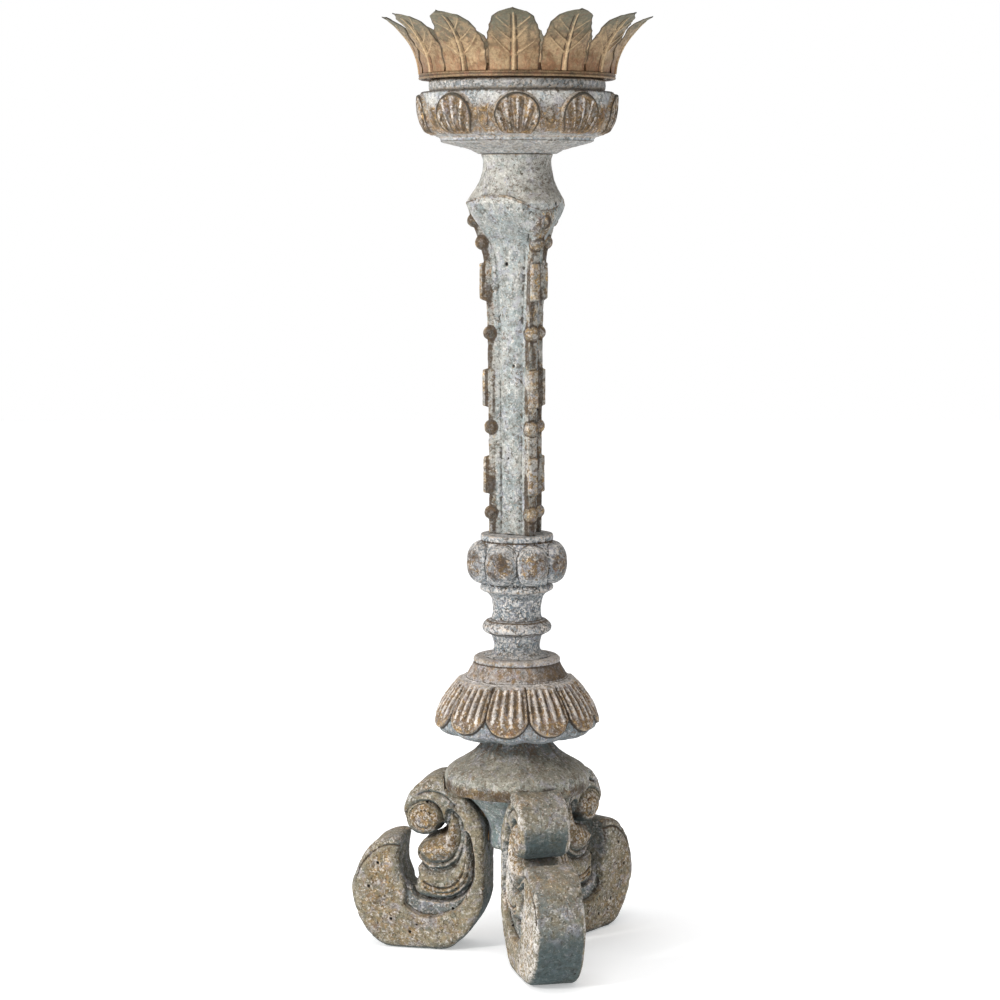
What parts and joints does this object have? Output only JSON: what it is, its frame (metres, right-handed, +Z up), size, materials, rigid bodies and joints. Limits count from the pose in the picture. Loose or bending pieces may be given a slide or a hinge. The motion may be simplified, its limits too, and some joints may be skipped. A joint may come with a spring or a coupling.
{
  "type": "altar candlestick",
  "caption": "Tall carved and painted tripod candlestick: scroll legs, turned stem with petal skirt, ribbed triangular shaft, lobed cup, iron spike and a lift-off crown of metal leaves.",
  "frame": {"origin": "On the floor under the middle of the column: the column's axis meets the plane that the legs stand on.", "axes": "+Z is up along the column. -Y points to the side that the front leg and the front of the shaft face. +X is to the right seen from there."},
  "size_m": [0.2881, 0.3018, 0.8993],
  "materials": {
    "leg_paint": "carved wood under worn tan and grey paint with gilt rubbed through on the high edges",
    "dowel_beech": "bare beech dowel",
    "hub_paint": "grey-green painted wood, dusty in the corners",
    "cap_paint": "turned wood, dark blue-grey paint worn to ochre and red ground at the rim",
    "petal_gilt": "carved wood, worn gilding over blue-grey gesso in the flutes",
    "baluster_paint": "turned and carved wood, pale grey gesso with brown rubbed edges",
    "shaft_paint": "carved wood, chalky pale grey paint, balls and billets rubbed to ochre",
    "cup_gilt": "carved wood, fluted lobes in worn gilding over grey paint",
    "disc_paint": "turned wood, mottled grey paint",
    "wrought_iron": "forged iron spike, dark and lightly rusted",
    "pan_tole": "thin sheet metal, dark brown patina",
    "rim_tole": "wired sheet-metal edge, brown-gold patina",
    "leaf_tole": "embossed sheet-metal leaf, tan-gold lacquer worn to grey at the tips"
  },
  "bodies": {
    "stand": {"leg_left": "leg_paint", "leg_front": "leg_paint", "leg_rear": "leg_paint", "leg_left_dowel_lower": "dowel_beech", "leg_left_dowel_upper": "dowel_beech", "leg_front_dowel_lower": "dowel_beech", "leg_front_dowel_upper": "dowel_beech", "leg_rear_dowel_lower": "dowel_beech", "leg_rear_dowel_upper": "dowel_beech", "base_hub": "hub_paint", "base_cap": "cap_paint", "petal_skirt": "petal_gilt", "baluster": "baluster_paint", "shaft": "shaft_paint", "candle_cup": "cup_gilt", "top_disc": "disc_paint", "pricket": "wrought_iron"},
    "crown": {"drip_pan": "pan_tole", "crown_rim": "rim_tole", "crown_leaf_01": "leaf_tole", "crown_leaf_02": "leaf_tole", "crown_leaf_03": "leaf_tole", "crown_leaf_04": "leaf_tole", "crown_leaf_05": "leaf_tole", "crown_leaf_06": "leaf_tole", "crown_leaf_07": "leaf_tole", "crown_leaf_08": "leaf_tole", "crown_leaf_09": "leaf_tole", "crown_leaf_10": "leaf_tole", "crown_leaf_11": "leaf_tole", "crown_leaf_12": "leaf_tole"}
  },
  "joints": [
    {"name": "crown_lift", "type": "slide", "parent": "stand", "child": "crown", "axis": [0, 0, 1], "range_m": [0, 0.09]}
  ]
}
